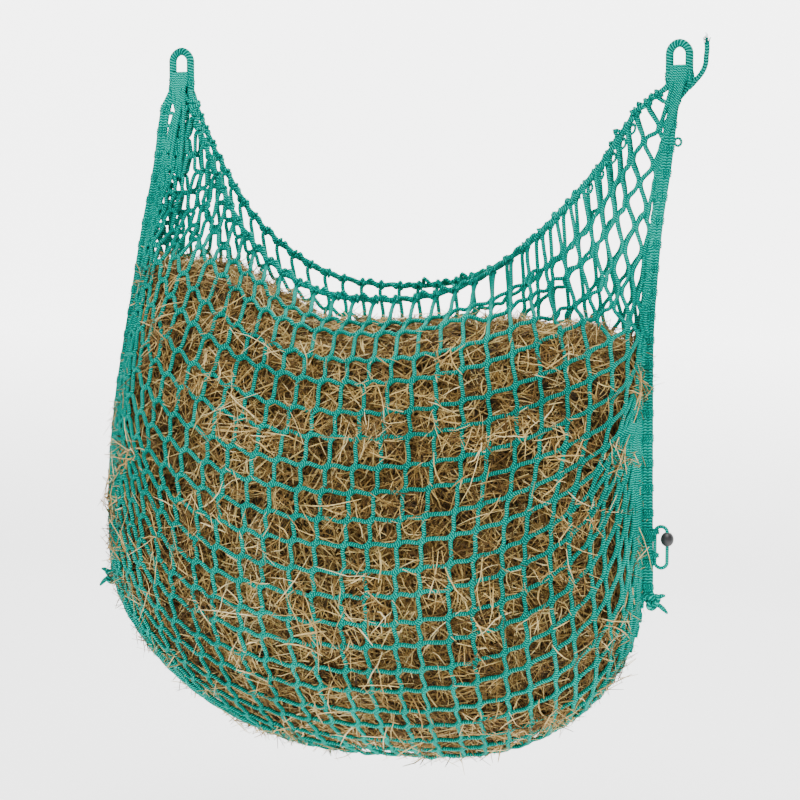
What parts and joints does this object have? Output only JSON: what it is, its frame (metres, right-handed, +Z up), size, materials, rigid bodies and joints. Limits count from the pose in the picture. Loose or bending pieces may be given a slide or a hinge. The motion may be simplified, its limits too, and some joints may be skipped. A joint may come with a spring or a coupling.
{
  "type": "hay net",
  "caption": "Square-mesh netting bag filled with hay, hung by an eye at each top corner, with a corded mouth whose loose front lip opens forward.",
  "frame": {"origin": "centre of the left hanging eye's bore", "axes": "+X from the left eye to the right eye, -Y away from the wall and along the eyes' bores, +Z up"},
  "size_m": [0.7191, 0.3088, 0.8445],
  "materials": {
    "hay": "loose dried grass stalks, tan to brown",
    "netting": "knotless knitted twine, teal green",
    "border": "thick ribbed knitted border rope, teal green",
    "cord": "twisted cord, darker teal green",
    "sealed_end": "rope end cut and melted, pale green",
    "stopper": "black moulded plastic"
  },
  "bodies": {
    "net": {"hay_load": "hay", "net_front_belly": "netting", "net_front_wing_left": "netting", "net_front_wing_right": "netting", "net_back_belly": "netting", "net_back_wing_left": "netting", "net_back_wing_right": "netting", "net_back_lip": "netting", "border_rope_left": "border", "border_rope_right": "border", "mouth_cord_front_left": "cord", "mouth_cord_front_right": "cord", "mouth_cord_back": "cord", "hanging_eye_left": "border", "hanging_eye_right": "border", "whipping_left": "cord", "whipping_right": "cord", "sealed_rope_end": "sealed_end", "corner_knot_left": "border", "corner_knot_right": "border", "seam_loop_right": "netting", "stopper_loop": "netting"},
    "front_lip": {"net_front_lip": "netting", "mouth_cord_front_lip": "cord"},
    "stopper": {"stopper": "stopper"}
  },
  "joints": [
    {"name": "front_lip_open", "type": "hinge", "parent": "net", "child": "front_lip", "pos_m": [0.308, -0.1924, -0.37], "axis": [1, 0, 0], "range_deg": [0, 40]},
    {"name": "stopper_slide", "type": "slide", "parent": "net", "child": "stopper", "axis": [0, 0, 1], "range_m": [-0.018, 0]}
  ]
}
